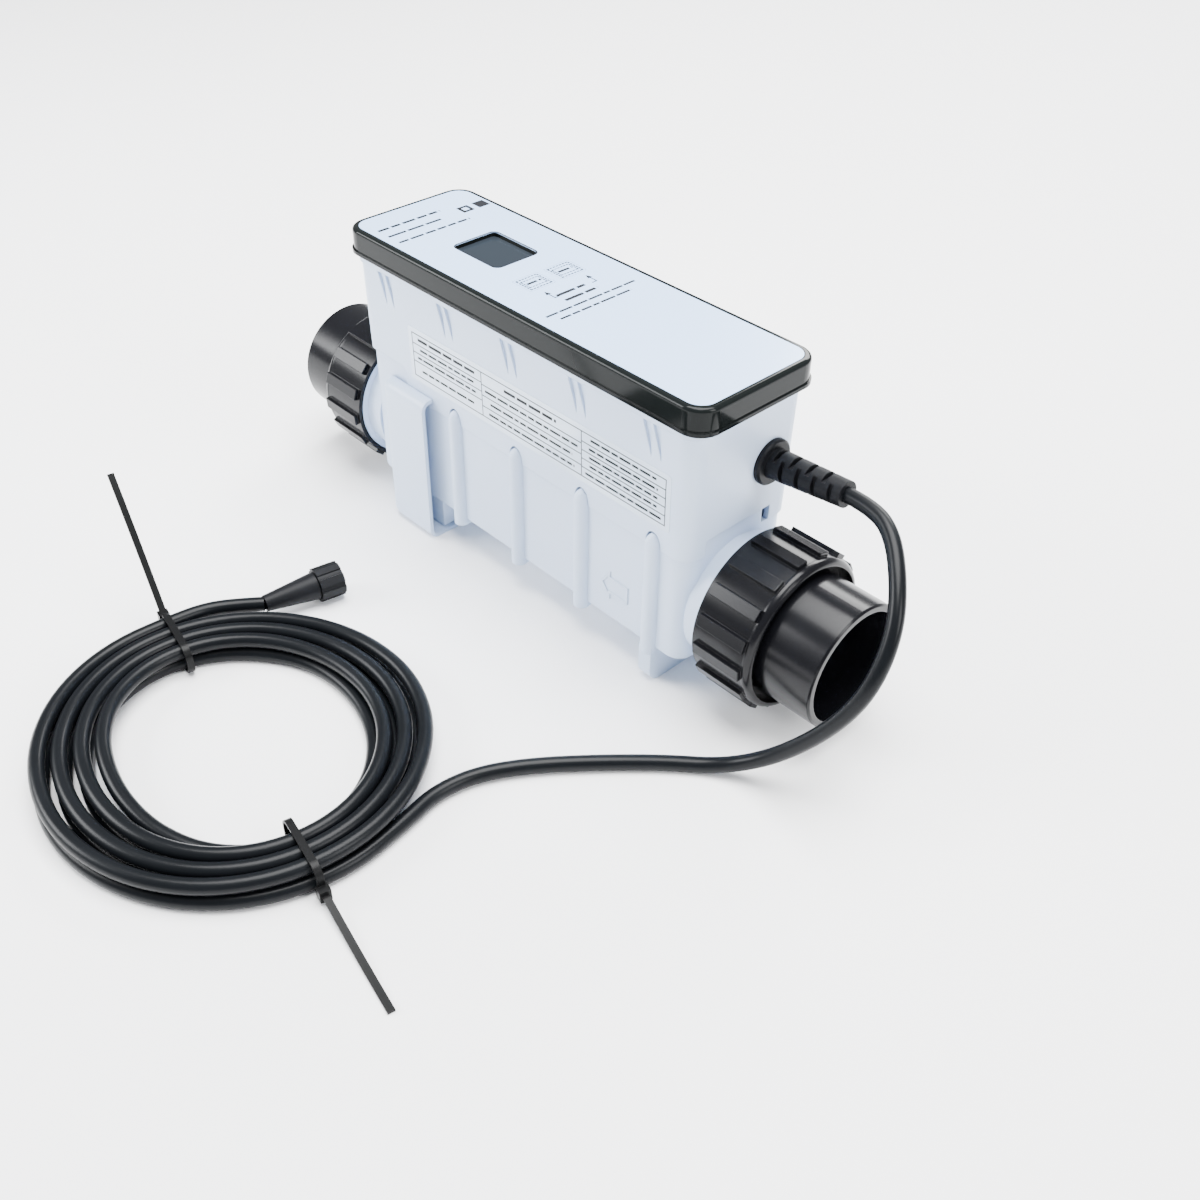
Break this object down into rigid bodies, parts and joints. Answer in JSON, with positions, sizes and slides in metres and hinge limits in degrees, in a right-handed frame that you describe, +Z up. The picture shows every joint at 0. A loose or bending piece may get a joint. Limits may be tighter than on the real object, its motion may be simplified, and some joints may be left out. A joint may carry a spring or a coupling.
{
  "type": "salt chlorine generator",
  "caption": "In-line electrolytic chlorine cell for a pool return pipe, with electronics housing, keypad, display, pipe unions, flow switch and power cord.",
  "frame": {"origin": "on the floor, below the middle of the housing, midway between the two pipe ends", "axes": "+X along the water pipe towards the cord's end of the housing, +Y from the labelled front to the back, +Z up"},
  "size_m": [0.4456, 0.374, 0.175],
  "materials": {
    "white_housing": "satin moulded ABS",
    "black_bezel": "polished black moulding",
    "black_union": "glossy black moulded ABS",
    "overlay_film": "pale blue-white printed film",
    "display_glass": "tinted window",
    "display_black": "dark grey display",
    "key_face": "pale blue-white printed film",
    "board_green": "solder mask",
    "stainless": "plain stainless steel",
    "titanium": "coated titanium sheet",
    "brass": "plain brass",
    "seal_rubber": "black EPDM",
    "relief_black": "moulded black PVC",
    "cord_black": "glossy black PVC sheath",
    "tie_black": "black nylon",
    "label_film": "clear printed film",
    "inner_plastic": "grey plastic",
    "component_dark": "dark moulded component"
  },
  "bodies": {
    "housing": {"cell_body": "white_housing", "cell_gasket": "seal_rubber", "terminal_plate": "white_housing", "anode_plates": "titanium", "anode_bus": "titanium", "cathode_plates": "titanium", "cathode_bus": "titanium", "plate_combs": "inner_plastic", "terminal_studs": "titanium", "terminal_nuts": "stainless", "temperature_probe": "stainless", "electronics_shell": "white_housing", "shell_screws": "stainless", "lid_bezel": "black_bezel", "lid_gasket": "seal_rubber", "overlay_panel": "overlay_film", "display_window": "display_glass", "display_module": "display_black", "key_switches": "component_dark", "control_board": "board_green", "control_board_posts": "inner_plastic", "control_board_screws": "stainless", "driver_board": "board_green", "driver_board_posts": "inner_plastic", "driver_board_screws": "stainless", "capacitors": "component_dark", "relay": "component_dark", "strain_relief": "relief_black", "relief_nut": "component_dark", "rating_label": "label_film", "flow_cover": "white_housing", "flow_base": "white_housing", "flow_gasket": "seal_rubber", "flow_screws": "stainless", "paddle_pin": "stainless", "left_seal": "seal_rubber", "right_seal": "seal_rubber", "power_cord": "cord_black", "cord_coil": "cord_black", "cord_lead": "cord_black", "connector_boot": "relief_black", "connector_body": "component_dark", "connector_contacts": "brass", "front_tie": "tie_black", "rear_tie": "tie_black"},
    "left_tail": {"left_union_tail": "black_union"},
    "left_nut": {"left_union_nut": "black_union"},
    "right_tail": {"right_union_tail": "black_union"},
    "right_nut": {"right_union_nut": "black_union"},
    "less_key": {"less_key": "key_face"},
    "more_key": {"more_key": "key_face"},
    "paddle": {"flow_paddle": "inner_plastic"},
    "plug_nut": {"coupling_nut": "relief_black"}
  },
  "joints": [
    {"name": "left_tail_slide", "type": "slide", "parent": "housing", "child": "left_tail", "axis": [-1, 0, 0], "range_m": [0, 0.016]},
    {"name": "left_nut_spin", "type": "hinge", "parent": "left_tail", "child": "left_nut", "pos_m": [-0.156, 0, 0.0513], "axis": [-1, 0, 0], "range_deg": [0, 1440.01]},
    {"name": "right_tail_slide", "type": "slide", "parent": "housing", "child": "right_tail", "axis": [1, 0, 0], "range_m": [0, 0.016]},
    {"name": "right_nut_spin", "type": "hinge", "parent": "right_tail", "child": "right_nut", "pos_m": [0.156, 0, 0.0513], "axis": [1, 0, 0], "range_deg": [0, 1440.01]},
    {"name": "less_key_press", "type": "slide", "parent": "housing", "child": "less_key", "axis": [0, 0, -1], "range_m": [0, 0.0006], "stiffness_N_per_m": 400},
    {"name": "more_key_press", "type": "slide", "parent": "housing", "child": "more_key", "axis": [0, 0, -1], "range_m": [0, 0.0006], "stiffness_N_per_m": 400},
    {"name": "paddle_swing", "type": "hinge", "parent": "housing", "child": "paddle", "pos_m": [-0.086, 0, 0.0335], "axis": [0, -1, 0], "range_deg": [0, 35], "stiffness_Nm_per_rad": 0.01},
    {"name": "plug_nut_spin", "type": "hinge", "parent": "housing", "child": "plug_nut", "pos_m": [-0.06434, -0.12151, 0.0102], "axis": [0.1805, 0.9836, 0], "continuous": true}
  ],
  "couplings": [
    {"joint": "left_nut_spin", "follows": "left_tail_slide", "rad_per_m": 1570.8},
    {"joint": "right_nut_spin", "follows": "right_tail_slide", "rad_per_m": 1570.8}
  ]
}
